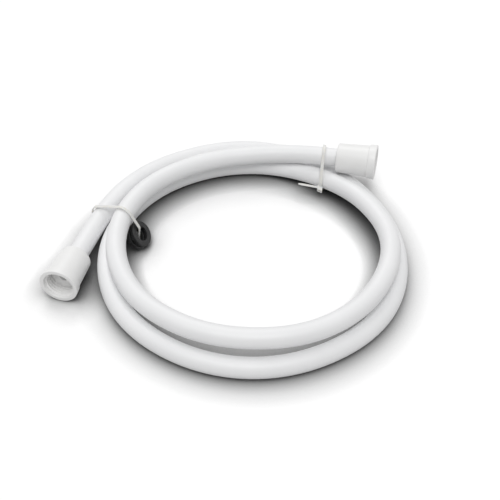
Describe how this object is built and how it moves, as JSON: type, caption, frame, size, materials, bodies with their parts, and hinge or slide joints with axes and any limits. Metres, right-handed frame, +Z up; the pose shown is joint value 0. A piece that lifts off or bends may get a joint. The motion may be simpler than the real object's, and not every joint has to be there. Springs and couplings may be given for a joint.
{
  "type": "shower hose",
  "caption": "Coiled white vinyl shower hose with a conical swivel nut at each end, held by nylon cable ties, with rubber sealing washers hung on a tie.",
  "frame": {"origin": "on the floor below the middle of the part's box", "axes": "+Z up, off the floor the coil lies on; -Y towards the viewer of the picture, +X to the right"},
  "size_m": [0.2538, 0.2285, 0.042],
  "materials": {
    "vinyl": "smooth satin gloss",
    "nut_plastic": "moulded gloss",
    "tail_plastic": "moulded",
    "steel": "pressed",
    "rubber": "matte",
    "nylon": "natural translucent"
  },
  "bodies": {
    "coil": {"hose": "vinyl", "tail_a": "tail_plastic", "tail_b": "tail_plastic", "ferrule_a": "steel", "ferrule_b": "steel", "washer_front": "rubber", "washer_back": "rubber", "tie_left": "nylon", "tie_right": "nylon"},
    "nut_a": {"nut_a": "nut_plastic"},
    "nut_b": {"nut_b": "nut_plastic"}
  },
  "joints": [
    {"name": "nut_a_turn", "type": "hinge", "parent": "coil", "child": "nut_a", "pos_m": [-0.10736, -0.02083, 0.01186], "axis": [-0.2197, -0.9736, 0.0612], "continuous": true},
    {"name": "nut_b_turn", "type": "hinge", "parent": "coil", "child": "nut_b", "pos_m": [0.08037, 0.07972, 0.02675], "axis": [0.9705, -0.2328, 0.0627], "continuous": true}
  ]
}
